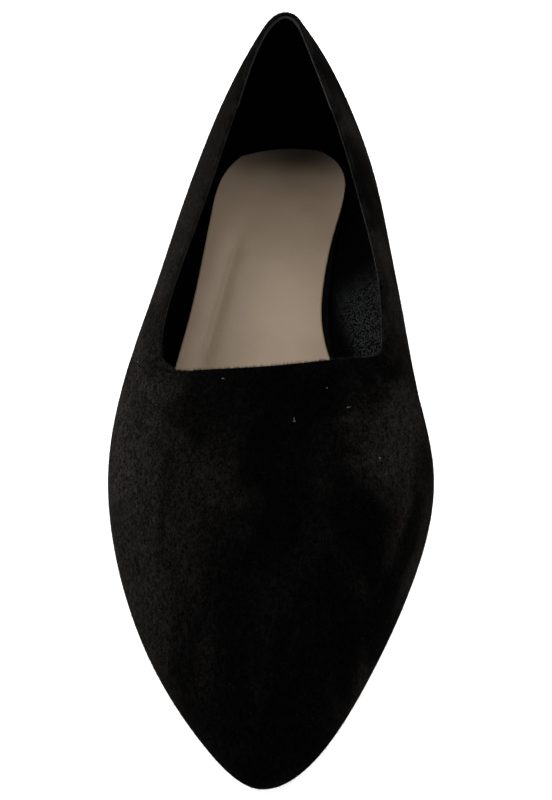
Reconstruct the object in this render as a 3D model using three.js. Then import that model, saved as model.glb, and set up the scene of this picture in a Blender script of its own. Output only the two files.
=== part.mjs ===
// A pointed ballet flat for the right foot, standing empty on its sole: one hollow suede upper,
// a thin outsole, a low heel under it, and an insole with its sock inside.
// Millimetres. +X points to the inner side of the foot, +Y to the heel and +Z up. The origin is
// on the floor, midway along the length.
import * as THREE from 'three';

// Whole shoe
const LENGTH = 258;
const BALL_WIDTH = 81;
const INSTEP = 45; // ridge of the vamp at the throat, above the edge of the sole
const BACK_HEIGHT = 57.5; // top of the collar at the back, above the edge of the sole
const VAMP_LENGTH = 85; // throat to toe tip
const HEEL_HEIGHT = 9; // floor to the top of the outsole at the back
const TOE_SPRING = 7;

// Upper
const UPPER_WALL = 1.8;
const EDGE_ROUND = 0.6; // the folded top edge stands this proud of a square cut
const LASTING_MARGIN = 9; // turned in between outsole and insole
const TIP_MARGIN = 3; // its width at the toe's tip
const MARGIN_SPREAD = 0.35; // how fast it widens from there, per unit of width
const BACK_LEAN = 4; // how far the collar leans forward at the back
const BACK_LEAN_REACH = 45; // the lean fades out this far in front of the back
const THROAT_CORNER = 6; // reach of the round where the collar meets the throat
const THROAT_BOW = 11.5; // the throat's ends lie this far behind its middle, at full width
const THROAT_SLANT = 4.9; // its outer end lies this far in front of its inner end, at full width
const INNER_COLLAR_RISE = 0.8; // the collar is higher beside the arch

// Bottom pieces
const OUTSOLE_THICKNESS = 3.3;
const OUTSOLE_LIP = 0.3; // sole outside the upper's lower edge
const OUTSOLE_BEVEL = 0.7;
const TREAD_LENGTH = 40; // flat of the forefoot on the floor
const TREAD_TO_TOE = 64; // from the front of that flat to the toe tip
const SPRING_SWEEP = 1.8; // 1 is a straight rise to the toe, more leaves the floor more slowly
const HEEL_LENGTH = 58;
const HEEL_TAPER = 1.5; // the heel's foot lies this far inside its top
const BREAST_BOW = 3; // hollow of the heel's front face
const INSOLE_THICKNESS = 2.2;
const SOCK_THICKNESS = 1.0;
const SOCK_INSET = 0.8;
const SOCK_TO_BACK = 7.3; // the sock's back edge lies this far from the back of the shoe
const SOCK_BOW = 6; // how far that edge curves forward
const SOCK_BOW_REACH = 20; // at this distance from its middle
const SOCK_BOW_MIDDLE = 7; // which lies this far to the inner side
const SEAM_GAP = 0.3; // between glued pieces

// Sections of the last. at: share of the length, from the back. lateral and medial: half widths
// at the widest line, shares of the ball width. belly: height of the widest line above the edge
// of the sole, share of the instep. lateralFull and medialFull: how squarely each side turns from
// the widest line to the ridge.
const SECTIONS = [
  { at: 0.0, lateral: 0.0, medial: 0.0, belly: 0.32, lateralFull: 2.0, medialFull: 1.9 },
  { at: 0.04, lateral: 0.215, medial: 0.26, belly: 0.305, lateralFull: 1.5, medialFull: 1.65 },
  { at: 0.12, lateral: 0.322, medial: 0.363, belly: 0.31, lateralFull: 1.44, medialFull: 1.57 },
  { at: 0.25, lateral: 0.382, medial: 0.41, belly: 0.34, lateralFull: 1.54, medialFull: 1.86 },
  { at: 0.4, lateral: 0.43, medial: 0.432, belly: 0.365, lateralFull: 1.71, medialFull: 2.28 },
  { at: 0.52, lateral: 0.467, medial: 0.453, belly: 0.37, lateralFull: 1.95, medialFull: 2.37 },
  { at: 0.62, lateral: 0.497, medial: 0.48, belly: 0.345, lateralFull: 2.2, medialFull: 2.05 },
  { at: 0.7, lateral: 0.499, medial: 0.499, belly: 0.32, lateralFull: 2.3, medialFull: 2.2 },
  { at: 0.8, lateral: 0.431, medial: 0.423, belly: 0.28, lateralFull: 2.3, medialFull: 2.3 },
  { at: 0.9, lateral: 0.292, medial: 0.278, belly: 0.235, lateralFull: 2.2, medialFull: 2.2 },
  { at: 0.965, lateral: 0.149, medial: 0.155, belly: 0.21, lateralFull: 2.2, medialFull: 2.2 },
  { at: 1.0, lateral: 0.0, medial: 0.0, belly: 0.195, lateralFull: 2.2, medialFull: 2.2 },
];

// Where the collar cuts the section on each side: its height as a share of the height at which
// that side would reach the ridge, both above the widest line.
const COLLAR_LEVELS = [
  { at: 0.0, lateral: 0.88, medial: 0.88 },
  { at: 0.04, lateral: 0.885, medial: 0.945 },
  { at: 0.12, lateral: 0.865, medial: 0.91 },
  { at: 0.25, lateral: 0.82, medial: 0.83 },
  { at: 0.4, lateral: 0.75, medial: 0.75 },
  { at: 0.52, lateral: 0.7, medial: 0.7 },
];

// Height of the vamp's ridge above the widest line, share of the instep.
const RIDGE = [
  { at: 0.62, height: 0.75 },
  { at: 0.7, height: 0.605 },
  { at: 0.8, height: 0.49 },
  { at: 0.9, height: 0.345 },
  { at: 0.965, height: 0.2 },
  { at: 1.0, height: 0.0 },
];
const RIDGE_FULLNESS = 2.2; // how flat the ridge is across

// How far the edge of the sole is tucked in under the widest line on each side, and how much
// further than its own inset the sock is cut in at the arch, shares of the ball width.
const TUCKS = [
  { at: 0.0, lateral: 0.03, medial: 0.03, sockCut: 0.0 },
  { at: 0.05, lateral: 0.022, medial: 0.0, sockCut: 0.0 },
  { at: 0.12, lateral: 0.022, medial: 0.032, sockCut: 0.0 },
  { at: 0.25, lateral: 0.05, medial: 0.148, sockCut: 0.004 },
  { at: 0.35, lateral: 0.07, medial: 0.2, sockCut: 0.016 },
  { at: 0.42, lateral: 0.075, medial: 0.22, sockCut: 0.018 },
  { at: 0.5, lateral: 0.072, medial: 0.195, sockCut: 0.012 },
  { at: 0.6, lateral: 0.072, medial: 0.11, sockCut: 0.0 },
  { at: 0.7, lateral: 0.052, medial: 0.052, sockCut: 0.0 },
  { at: 0.8, lateral: 0.045, medial: 0.045, sockCut: 0.0 },
  { at: 0.9, lateral: 0.047, medial: 0.047, sockCut: 0.0 },
  { at: 1.0, lateral: 0.072, medial: 0.072, sockCut: 0.0 },
];
const TUCK_SWEEP = 1.5; // 1 is a straight slope under the widest line, more is rounder

// The collar sinks from its height at the back to its height at the corner of the throat.
// along: share of the way from back to throat. left: share of that drop still to come.
const COLLAR = [
  { along: 0.0, left: 1.0 },
  { along: 0.15, left: 0.72 },
  { along: 0.37, left: 0.425 },
  { along: 0.6, left: 0.25 },
  { along: 0.78, left: 0.17 },
  { along: 1.0, left: 0.0 },
];
const CORNER_LEVEL = 0.885; // height of the throat's corners, share of the ridge there

// Facets
const AROUND = 96; // even, so that back and toe tip each have a point
const WALL_ROWS = 3; // from the edge of the sole to the widest line
const CROWN_ROWS = 8; // from there to the collar or the throat
const LOOP_STEPS = 40; // for each stretch of the collar's line
const BREAST_STEPS = 8; // across the heel's front face

// The curve of a thin batten held at each knot.
function batten(knots, values) {
  const last = knots.length - 1;
  const bend = new Array(last + 1).fill(0);
  const carry = new Array(last + 1).fill(0);
  for (let k = 1; k < last; k += 1) {
    const before = knots[k] - knots[k - 1];
    const after = knots[k + 1] - knots[k];
    const kink = (values[k + 1] - values[k]) / after - (values[k] - values[k - 1]) / before;
    const pivot = 2 * (before + after) - before * carry[k - 1];
    carry[k] = after / pivot;
    bend[k] = (6 * kink - before * bend[k - 1]) / pivot;
  }
  for (let k = last - 1; k > 0; k -= 1) {
    bend[k] -= carry[k] * bend[k + 1];
  }
  return (t) => {
    let k = 0;
    while (k < last - 1 && t > knots[k + 1]) {
      k += 1;
    }
    const span = knots[k + 1] - knots[k];
    const a = (knots[k + 1] - t) / span;
    const b = 1 - a;
    const straight = a * values[k] + b * values[k + 1];
    return straight + (((a ** 3 - a) * bend[k] + (b ** 3 - b) * bend[k + 1]) * span * span) / 6;
  };
}

// Sections are spaced as on an ellipse, so that the outline closes round at back and toe.
const sweepOf = (at) => Math.acos(THREE.MathUtils.clamp(1 - 2 * at, -1, 1));
function column(table, name) {
  const curve = batten(table.map((row) => sweepOf(row.at)), table.map((row) => row[name]));
  return (at) => curve(sweepOf(at));
}
const widthShares = { [-1]: column(SECTIONS, 'lateral'), [1]: column(SECTIONS, 'medial') };
const bellyShare = column(SECTIONS, 'belly');
const fullnesses = { [-1]: column(SECTIONS, 'lateralFull'), [1]: column(SECTIONS, 'medialFull') };
const tuckShares = { [-1]: column(TUCKS, 'lateral'), [1]: column(TUCKS, 'medial') };
const sockCutShare = column(TUCKS, 'sockCut');
const collarLeft = batten(COLLAR.map((row) => row.along), COLLAR.map((row) => row.left));

const halfWidth = (at, side) => BALL_WIDTH * Math.max(widthShares[side](at), 0);
const tuck = (at, side) => BALL_WIDTH * tuckShares[side](at);
const throatAt = 1 - VAMP_LENGTH / LENGTH;
const treadFrontAt = 1 - TREAD_TO_TOE / LENGTH;
const treadBackAt = treadFrontAt - TREAD_LENGTH / LENGTH;
const breastAt = HEEL_LENGTH / LENGTH;

// Height of the outsole's top above the floor: level on the heel, down along the arch, level on
// the forefoot and up to the toe.
function soleTop(y) {
  const at = 0.5 - y / LENGTH;
  const arch = 1 - THREE.MathUtils.smootherstep(at, breastAt, treadBackAt);
  const spring = Math.max(0, (at - treadFrontAt) / (1 - treadFrontAt)) ** SPRING_SWEEP;
  return OUTSOLE_THICKNESS + (HEEL_HEIGHT - OUTSOLE_THICKNESS) * arch + TOE_SPRING * spring;
}
const edgeHeight = (y) => soleTop(y) + SEAM_GAP;
const bellyHeight = (at) => edgeHeight(LENGTH * (0.5 - at)) + INSTEP * bellyShare(at);

// Heights of the collar and of the ridge above the widest line.
const ridgeShare = column(RIDGE, 'height');
const cornerHeight = CORNER_LEVEL * INSTEP * (bellyShare(throatAt) + ridgeShare(throatAt));
function collarRise(at, side) {
  const along = Math.min(at / throatAt, 1);
  const drop = (BACK_HEIGHT - cornerHeight) * collarLeft(along);
  const archRise = side > 0 ? INNER_COLLAR_RISE * Math.sin(Math.PI * along) : 0;
  return cornerHeight + drop + archRise - INSTEP * bellyShare(at);
}
function crownCurve(name) {
  const back = COLLAR_LEVELS.map((row) => ({ at: row.at, height: collarRise(row.at, -1) / row[name] }));
  const front = RIDGE.map((row) => ({ at: row.at, height: INSTEP * row.height }));
  const curve = column([...back, ...front], 'height');
  return (at) => Math.max(curve(at), 0);
}
const crowns = { [-1]: crownCurve('lateral'), [1]: crownCurve('medial') };

// A point of the last at one section. gauge: 0 on the ridge, 1 on the widest line.
function lastPoint(at, side, gauge) {
  const rise = crowns[side](at) * (1 - gauge ** RIDGE_FULLNESS) ** (1 / fullnesses[side](at));
  const fade = Math.max(0, 1 - (at * LENGTH) / BACK_LEAN_REACH) ** 2;
  const lean = BACK_LEAN * Math.min(rise / collarRise(0, -1), 1.5) ** 2 * fade;
  const y = LENGTH * (0.5 - at) - lean;
  return new THREE.Vector3(side * gauge * halfWidth(at, side), y, bellyHeight(at) + rise);
}

// The gauge at which one side reaches the collar's height.
function collarGauge(at, side) {
  const share = THREE.MathUtils.clamp(collarRise(at, side) / crowns[side](at), 0, 0.99);
  return (1 - share ** fullnesses[side](at)) ** (1 / RIDGE_FULLNESS);
}

const throatLine = (side, gauge) =>
  throatAt - (side * gauge * THROAT_SLANT + gauge ** 2 * THROAT_BOW) / LENGTH;

// One side of the opening's edge, from share `from` of the length to the throat's middle: along
// the collar, round the corner and along the throat.
function openingEdge(side, from) {
  let cornerAt = throatAt;
  let cornerGauge = collarGauge(cornerAt, side);
  for (let pass = 0; pass < 8; pass += 1) {
    cornerAt = throatLine(side, cornerGauge);
    cornerGauge = collarGauge(cornerAt, side);
  }
  const turnAt = cornerAt - THROAT_CORNER / LENGTH;
  const turnGauge = cornerGauge - THROAT_CORNER / halfWidth(cornerAt, side);
  const points = [];
  for (let k = 0; k <= LOOP_STEPS; k += 1) {
    const at = THREE.MathUtils.lerp(from, turnAt, k / LOOP_STEPS);
    points.push({ at, gauge: collarGauge(at, side) });
  }
  const first = points[points.length - 1];
  for (let k = 1; k <= LOOP_STEPS; k += 1) {
    const t = k / LOOP_STEPS;
    const blend = (a, b, c) => a * (1 - t) ** 2 + 2 * b * t * (1 - t) + c * t * t;
    points.push({
      at: blend(first.at, cornerAt, throatLine(side, turnGauge)),
      gauge: blend(first.gauge, cornerGauge, turnGauge),
    });
  }
  for (let k = 1; k <= LOOP_STEPS; k += 1) {
    const gauge = turnGauge * (1 - k / LOOP_STEPS);
    points.push({ at: throatLine(side, gauge), gauge });
  }
  return points;
}

// Running length along a row of points, from 0 to 1, and the place at one share of it.
function shareOut(points, toVector) {
  const runs = [0];
  for (let k = 1; k < points.length; k += 1) {
    runs.push(runs[k - 1] + toVector(points[k]).distanceTo(toVector(points[k - 1])));
  }
  const total = runs[runs.length - 1];
  const place = (share) => {
    let k = 0;
    while (k < points.length - 2 && share * total > runs[k + 1]) {
      k += 1;
    }
    const mix = THREE.MathUtils.clamp((share * total - runs[k]) / (runs[k + 1] - runs[k]), 0, 1);
    return {
      at: THREE.MathUtils.lerp(points[k].at, points[k + 1].at, mix),
      gauge: THREE.MathUtils.lerp(points[k].gauge, points[k + 1].gauge, mix),
    };
  };
  return { runs, total, place };
}

const outlineAt = (sweep) => (1 - Math.cos(sweep)) / 2;

// Where each path up the last ends. Behind FAN_AT the paths stay in their sections. In front of
// it they fan out, so that the opening's edge and the toe share them.
const FAN_AT = 0.45;
const THROAT_SPREAD = 0.8; // spacing of the paths at the throat's middle, 1 is their mean
function pathEnds(side) {
  const half = AROUND / 2;
  const fanSweep = sweepOf(FAN_AT);
  const edge = openingEdge(side, FAN_AT);
  const edgeRun = shareOut(edge, (p) => lastPoint(p.at, side, p.gauge));
  const outline = [];
  for (let k = 0; k <= LOOP_STEPS; k += 1) {
    outline.push({ at: outlineAt(THREE.MathUtils.lerp(fanSweep, Math.PI, k / LOOP_STEPS)), gauge: 1 });
  }
  const outlineRun = shareOut(outline, (p) => lastPoint(p.at, side, 1));
  const startSpread = outlineRun.total / edgeRun.total;
  const ends = [];
  for (let k = 0; k <= half; k += 1) {
    const sweep = (Math.PI * k) / half;
    const at = outlineAt(sweep);
    if (at <= FAN_AT) {
      ends.push({ at, gauge: collarGauge(at, side) });
      continue;
    }
    const place = ((sweep - fanSweep) / (Math.PI - fanSweep)) * LOOP_STEPS;
    const k0 = Math.min(Math.floor(place), LOOP_STEPS - 1);
    const run = THREE.MathUtils.lerp(outlineRun.runs[k0], outlineRun.runs[k0 + 1], place - k0);
    const q = run / outlineRun.total;
    const share = startSpread * q * (1 - q) ** 2 + (3 - 2 * q) * q * q - THROAT_SPREAD * q * q * (1 - q);
    ends.push(edgeRun.place(share));
  }
  return ends;
}

// The outer face of the crown: rows of points from the widest line to the opening's edge.
function crownRows() {
  const half = AROUND / 2;
  const ends = { [-1]: pathEnds(-1), [1]: pathEnds(1) };
  const rows = [];
  for (let j = 0; j <= CROWN_ROWS; j += 1) {
    rows.push([]);
  }
  for (let i = 0; i < AROUND; i += 1) {
    const side = i <= half ? -1 : 1;
    const k = i <= half ? i : AROUND - i;
    const startAt = outlineAt((Math.PI * k) / half);
    const end = ends[side][k];
    const endX = end.gauge * halfWidth(end.at, side);
    const turn = Math.acos(Math.min(end.gauge ** (RIDGE_FULLNESS / 2), 1));
    for (let j = 0; j <= CROWN_ROWS; j += 1) {
      const t = j / CROWN_ROWS;
      const share = (1 - Math.cos(turn * t)) / (1 - Math.cos(turn));
      const at = THREE.MathUtils.lerp(startAt, end.at, share);
      const x = THREE.MathUtils.lerp(halfWidth(startAt, side), endX, share);
      const stays = startAt <= FAN_AT;
      let gauge = stays ? THREE.MathUtils.lerp(1, end.gauge, share) : x / halfWidth(at, side);
      if (j === 0) {
        gauge = 1;
      }
      rows[j].push(lastPoint(at, side, Math.min(gauge, 1)));
    }
  }
  return rows;
}

// The way out of a closed row, level with the floor, at each of its points.
function outwards(ring) {
  return ring.map((point, i) => {
    const next = ring[(i + 1) % ring.length];
    const before = ring[(i + ring.length - 1) % ring.length];
    return new THREE.Vector3(next.y - before.y, before.x - next.x, 0).normalize();
  });
}

// The side below the widest line, from the edge of the sole up.
function wallRows(widest) {
  const out = outwards(widest);
  const rows = Array.from({ length: WALL_ROWS }, () => []);
  widest.forEach((point, i) => {
    const side = i <= AROUND / 2 ? -1 : 1;
    const foot = point.clone().addScaledVector(out[i], -tuck(0.5 - point.y / LENGTH, side));
    foot.z = edgeHeight(foot.y);
    rows.forEach((row, j) => {
      const rise = j / WALL_ROWS;
      const level = foot.clone().lerp(point, 1 - (1 - rise) ** TUCK_SWEEP);
      level.z = THREE.MathUtils.lerp(foot.z, point.z, rise);
      row.push(level);
    });
  });
  return rows;
}

// The inner edge of the margin, which is narrower toward the toe's tip.
function marginRow(edge) {
  const out = outwards(edge);
  return edge.map((point, i) => {
    const spread = TIP_MARGIN + MARGIN_SPREAD * Math.abs(point.x);
    const width = point.y < 0 ? Math.min(spread, LASTING_MARGIN) : LASTING_MARGIN;
    const inner = point.clone().addScaledVector(out[i], -width);
    inner.z = edgeHeight(inner.y);
    return inner;
  });
}

// Rows moved to the inner face, each point by the same wall thickness.
function offsetRows(rows, distance) {
  const faceNormals = rows.slice(1).map((upper, j) => upper.map((point, i) => {
    const next = (i + 1) % upper.length;
    const rise = upper[next].clone().sub(rows[j][i]);
    const cross = point.clone().sub(rows[j][next]);
    return rise.cross(cross).normalize();
  }));
  return rows.map((row, j) => row.map((point, i) => {
    const before = (i + row.length - 1) % row.length;
    const around = [];
    for (const band of [faceNormals[j - 1], faceNormals[j]]) {
      if (band) {
        around.push(band[before], band[i]);
      }
    }
    const mean = new THREE.Vector3();
    around.forEach((normal) => mean.add(normal));
    mean.normalize();
    const closeness = around.reduce((sum, normal) => sum + normal.dot(mean), 0) / around.length;
    return point.clone().addScaledVector(mean, -distance / Math.max(closeness, 0.6));
  }));
}

// A closed solid from stacked rows. Each row runs counterclockwise as seen from above.
// joined: the last row meets the first. Otherwise both ends are closed by strips across.
function solidFromRows(rows, joined) {
  const count = rows[0].length;
  const points = rows.flat();
  const faces = [];
  const bands = joined ? rows.length : rows.length - 1;
  for (let j = 0; j < bands; j += 1) {
    const low = j * count;
    const high = ((j + 1) % rows.length) * count;
    for (let i = 0; i < count; i += 1) {
      const next = (i + 1) % count;
      faces.push([low + i, low + next, high + next], [low + i, high + next, high + i]);
    }
  }
  if (!joined) {
    const top = (rows.length - 1) * count;
    for (const [start, up] of [[0, false], [top, true]]) {
      for (let k = 0; k < count / 2; k += 1) {
        const left = start + k;
        const leftNext = start + k + 1;
        const right = start + ((count - k) % count);
        const rightNext = start + count - k - 1;
        const strip = [[left, leftNext, rightNext], [left, rightNext, right]];
        for (const [a, b, c] of strip) {
          if (a !== b && b !== c && a !== c) {
            faces.push(up ? [a, b, c] : [a, c, b]);
          }
        }
      }
    }
  }
  const geometry = new THREE.BufferGeometry();
  geometry.setAttribute('position', new THREE.Float32BufferAttribute(points.flatMap((p) => p.toArray()), 3));
  geometry.setIndex(faces.flat());
  geometry.computeVertexNormals();
  return geometry;
}

// A row moved in or out, level with the floor, then laid at a height that depends on y.
function traced(ring, distances, heightAt) {
  const out = outwards(ring);
  return ring.map((point, i) => {
    const moved = point.clone().addScaledVector(out[i], distances(i));
    moved.z = heightAt(moved.y);
    return moved;
  });
}

const crownFaces = crownRows();
const wallFaces = wallRows(crownFaces[0]);
const soleEdge = wallFaces[0];
const outerRows = [marginRow(soleEdge), ...wallFaces, ...crownFaces];

function upperShape() {
  const innerRows = offsetRows(outerRows, UPPER_WALL);
  const outerTop = outerRows[outerRows.length - 1];
  const innerTop = innerRows[innerRows.length - 1];
  const below = outerRows[outerRows.length - 2];
  const fold = outerTop.map((point, i) => {
    const proud = point.clone().sub(below[i]).normalize();
    return point.clone().lerp(innerTop[i], 0.5).addScaledVector(proud, EDGE_ROUND);
  });
  return solidFromRows([...outerRows, fold, ...innerRows.reverse()], true);
}

const soleBottom = (y) => soleTop(y) - OUTSOLE_THICKNESS;

function outsoleShape() {
  const bevel = OUTSOLE_BEVEL;
  return solidFromRows([
    traced(soleEdge, () => OUTSOLE_LIP - bevel, soleBottom),
    traced(soleEdge, () => OUTSOLE_LIP, (y) => soleBottom(y) + bevel),
    traced(soleEdge, () => OUTSOLE_LIP, soleTop),
  ], false);
}

// The heel follows the outsole's edge round the back, and its breast is hollow.
function heelShape() {
  const edge = traced(soleEdge, () => OUTSOLE_LIP - OUTSOLE_BEVEL, soleBottom);
  const breastY = LENGTH / 2 - HEEL_LENGTH;
  const ringAt = (inset, heightAt) => {
    const ring = traced(edge, () => -inset, heightAt);
    const cornerSteps = ring.slice(0, AROUND / 2).findIndex((point) => point.y < breastY);
    const corner = (before, after) => {
      const mix = (before.y - breastY) / (before.y - after.y);
      return before.clone().lerp(after, mix);
    };
    const outer = ring.slice(0, cornerSteps);
    const inner = ring.slice(AROUND - cornerSteps + 1);
    const outerCorner = corner(ring[cornerSteps - 1], ring[cornerSteps]);
    const innerCorner = corner(ring[AROUND - cornerSteps + 1], ring[AROUND - cornerSteps]);
    const breast = [];
    for (let k = 0; k <= BREAST_STEPS; k += 1) {
      const point = outerCorner.clone().lerp(innerCorner, k / BREAST_STEPS);
      point.y = breastY + BREAST_BOW * Math.sin((Math.PI * k) / BREAST_STEPS);
      point.z = heightAt(point.y);
      breast.push(point);
    }
    return [...outer, ...breast, ...inner];
  };
  return solidFromRows([
    ringAt(HEEL_TAPER, () => 0),
    ringAt(0, (y) => soleBottom(y) - SEAM_GAP),
  ], false);
}

// The insole lies on the margin and fills the shoe up to the inner face of the upper.
const insoleEdge = offsetRows(outerRows.slice(0, 3), UPPER_WALL + SEAM_GAP)[1];
const insoleBottom = (y) => edgeHeight(y) + UPPER_WALL + SEAM_GAP;
const insoleTop = (y) => insoleBottom(y) + INSOLE_THICKNESS;
function insoleShape() {
  return solidFromRows([
    traced(insoleEdge, () => 0, insoleBottom),
    traced(insoleEdge, () => 0, insoleTop),
  ], false);
}

function sockShape() {
  const inset = (i) => {
    const at = 0.5 - insoleEdge[i].y / LENGTH;
    const inner = i > AROUND / 2;
    return -SOCK_INSET - (inner ? BALL_WIDTH * Math.max(sockCutShare(at), 0) : 0);
  };
  const bottom = (y) => insoleTop(y) + SEAM_GAP;
  const edgeAt = (heightAt) => traced(insoleEdge, inset, heightAt).map((point) => {
    const bow = SOCK_BOW * ((point.x - SOCK_BOW_MIDDLE) / SOCK_BOW_REACH) ** 2;
    point.y = Math.min(point.y, LENGTH / 2 - SOCK_TO_BACK - bow);
    return point;
  });
  return solidFromRows([edgeAt(bottom), edgeAt((y) => bottom(y) + SOCK_THICKNESS)], false);
}

const suede = new THREE.MeshStandardMaterial({ color: '#1d1814', roughness: 0.95, metalness: 0 });
const rubber = new THREE.MeshStandardMaterial({ color: '#151414', roughness: 0.7, metalness: 0 });
const board = new THREE.MeshStandardMaterial({ color: '#2a2622', roughness: 0.9, metalness: 0 });
const sockLeather = new THREE.MeshStandardMaterial({ color: '#827364', roughness: 0.75, metalness: 0 });

const shoe = new THREE.Group();
function addPiece(name, geometry, material) {
  const piece = new THREE.Mesh(geometry, material);
  piece.name = name;
  shoe.add(piece);
}
addPiece('upper', upperShape(), suede);
addPiece('outsole', outsoleShape(), rubber);
addPiece('heel', heelShape(), rubber);
addPiece('insole', insoleShape(), board);
addPiece('sock', sockShape(), sockLeather);

export default shoe;
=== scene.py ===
"""A pointed ballet flat in black suede, for the right foot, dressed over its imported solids."""

import math

import bmesh
import bpy
import numpy as np
from mathutils import Matrix, Vector


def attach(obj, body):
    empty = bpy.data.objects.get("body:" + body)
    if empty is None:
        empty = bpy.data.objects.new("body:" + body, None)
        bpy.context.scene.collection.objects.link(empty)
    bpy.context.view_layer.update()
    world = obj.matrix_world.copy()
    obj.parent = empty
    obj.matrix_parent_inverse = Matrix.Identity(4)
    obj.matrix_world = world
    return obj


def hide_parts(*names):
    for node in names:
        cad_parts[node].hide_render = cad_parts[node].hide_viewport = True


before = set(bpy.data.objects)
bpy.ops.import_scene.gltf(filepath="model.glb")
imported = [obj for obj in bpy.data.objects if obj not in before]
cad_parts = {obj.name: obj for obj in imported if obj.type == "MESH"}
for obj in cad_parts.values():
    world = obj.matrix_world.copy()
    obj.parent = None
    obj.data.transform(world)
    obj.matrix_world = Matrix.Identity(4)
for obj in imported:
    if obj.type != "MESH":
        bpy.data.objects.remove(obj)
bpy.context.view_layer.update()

# Sizes are in millimetres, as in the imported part, and meshes are made in metres. X points to the
# inner side of the foot, Y to the heel and Z up.
MM = 0.001
LENGTH = 258.0
BALL_WIDTH = 81.0
INSTEP = 45.0
BACK_HEIGHT = 57.5
VAMP_LENGTH = 85.0
HEEL_HEIGHT = 9.0
TOE_SPRING = 7.0
UPPER_WALL = 1.8
BACK_LEAN = 4.0
BACK_LEAN_REACH = 45.0
BACK_LEAN_LIMIT = 1.5  # the lean stops growing at this many times the collar's rise
THROAT_CORNER = 6.0
THROAT_BOW = 11.5
THROAT_SLANT = 4.9
INNER_COLLAR_RISE = 0.8
CORNER_LEVEL = 0.885
OUTSOLE_THICKNESS = 3.3
OUTSOLE_LIP = 0.3
TREAD_LENGTH = 40.0
TREAD_TO_TOE = 64.0
HEEL_LENGTH = 58.0
HEEL_TAPER = 1.5
BREAST_BOW = 3.0
INSOLE_THICKNESS = 2.2
SOCK_THICKNESS = 1.0
SOCK_INSET = 0.8
SOCK_TO_BACK = 7.3
SOCK_BOW = 6.0
SOCK_BOW_REACH = 20.0
SOCK_BOW_MIDDLE = 7.0
SEAM_GAP = 0.3
SPRING_SWEEP = 1.8  # how late the toe spring rises
HIGHEST_COLLAR = 0.99  # share of the crown that the collar stays below
CORNER_PASSES = 9

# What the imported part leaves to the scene.
SUEDE_LAYER = 0.6
LINING_LAYER = 0.5
FOLD_DEPTH = UPPER_WALL - LINING_LAYER  # thickness of the folded edge
FOLD_INSIDE = 0.8  # the back of the suede starts this far below the top of the fold
LINING_DROP = 0.35  # the lining's cut edge lies this far below the top of the fold
LINING_CLEARANCE = 0.05
LAYER_GAP = 0.02
FOLD_RISE = 0.7  # roundness of the folded top edge
SUEDE_LIP = 6.0  # suede turned in under the insole
GRIP_LAYER = 0.4
GRIP_AT = 0.218  # the heel grip ends at this share of the length
GRIP_DROP = 0.5
RIM_SIDES = 10
RIM_HEIGHT = 0.22
RIM_OVERHANG = 0.05  # the cut edges are this much wider than their layers
LIFT_HEIGHT = 2.2  # the heel's bottom layer
LIFT_GROOVE = 0.2
OUTSOLE_BEVEL = 0.7
BREAST_STEPS = 24
BREAST_TAPER = 0.4  # the breast leans forward by this share of the sides' inset
RIB_PITCH = 3.0
RIB_FADE = 4.0
HEEL_CUP = 1.7  # the sock rises this much along its edge at the heel
HEEL_CUP_REACH = 7.0
HEEL_CUP_FROM, HEEL_CUP_FULL = 60.0, 100.0
TROUGH_BACK = (-14.0, 62.0)  # the soft trough along the sock's outer side
TROUGH_FRONT = (-22.0, 2.0)
TROUGH_DEPTH = 1.1
TROUGH_WIDTH = 3.2
TROUGH_FRONT_FADE = (-30.0, 10.0)
TROUGH_BACK_FADE = (-12.0, 12.0)
SOCK_SHADE_FROM, SOCK_SHADE_TO = 98.0, 122.0  # painted shade: the sock darkens toward its back edge

# Soft creases of the suede, as short lines on the last between two places. Depth and width in mm.
CREASE_COLUMNS = ("side", "from_at", "from_gauge", "to_at", "to_gauge", "depth", "width")
CREASES = [
    (-1, 0.565, 0.9, 0.6, 0.985, 0.35, 1.5),
    (-1, 0.6, 0.86, 0.63, 0.96, 0.25, 1.3),
    (-1, 0.52, 0.955, 0.545, 0.999, 0.3, 1.4),
    (1, 0.6, 0.88, 0.635, 0.98, 0.3, 1.5),
    (1, 0.28, 0.86, 0.3, 0.97, 0.35, 1.8),
    (-1, 0.3, 0.9, 0.325, 0.985, 0.3, 1.7),
]
CREASE_ENDS = (0.08, 0.92)  # shares of a crease between which it swells and fades

# Specks of lint where the photo shows them, by side, share of the length and gauge.
LINT = [
    (-1, 0.63, 0.84),
    (-1, 0.68, 0.3),
    (1, 0.685, 0.3),
    (1, 0.7, 0.42),
    (1, 0.72, 0.12),
    (1, 0.74, 0.62),
]
LINT_HAIRS = 3
LINT_WAY = (0.0, -0.2, 1.0)
LINT_LENGTH = 0.9
LINT_WIDTH = 0.14

# Glints are painted into the lining's colour inside the arch, and a painted highlight makes its cut edge
# pale on the inner side.
GLINT_LOW, GLINT_HIGH = 9.0, 13.0
GLINT_FRONT, GLINT_BACK = 22.0, 44.0
GLINT_OUTER, GLINT_INNER = 0.0, 18.0
EDGE_DARK_TO, EDGE_LIGHT_FROM = -2.0, 7.0

# Hairs of the nap, all over the suede and along the folded edge.
NAP_HAIRS = 26000
NAP_SEED = 11
NAP_LAY = (0.2, -0.8, -0.3)  # the nap is brushed toward the toe
NAP_LENGTH = 0.5
NAP_WIDTH = 0.06
EDGE_HAIRS = 9000
EDGE_SEED = 12
EDGE_LAY = (0.0, 0.4, 0.5)
EDGE_LENGTH = 0.75
EDGE_WIDTH = 0.09
HAIR_ROOT = 0.05
HAIR_LEAN = 1.1
HAIR_STRAY = 0.7
HAIR_SHORTEST, HAIR_LONGEST = 0.4, 1.3  # as shares of the usual length

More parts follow.
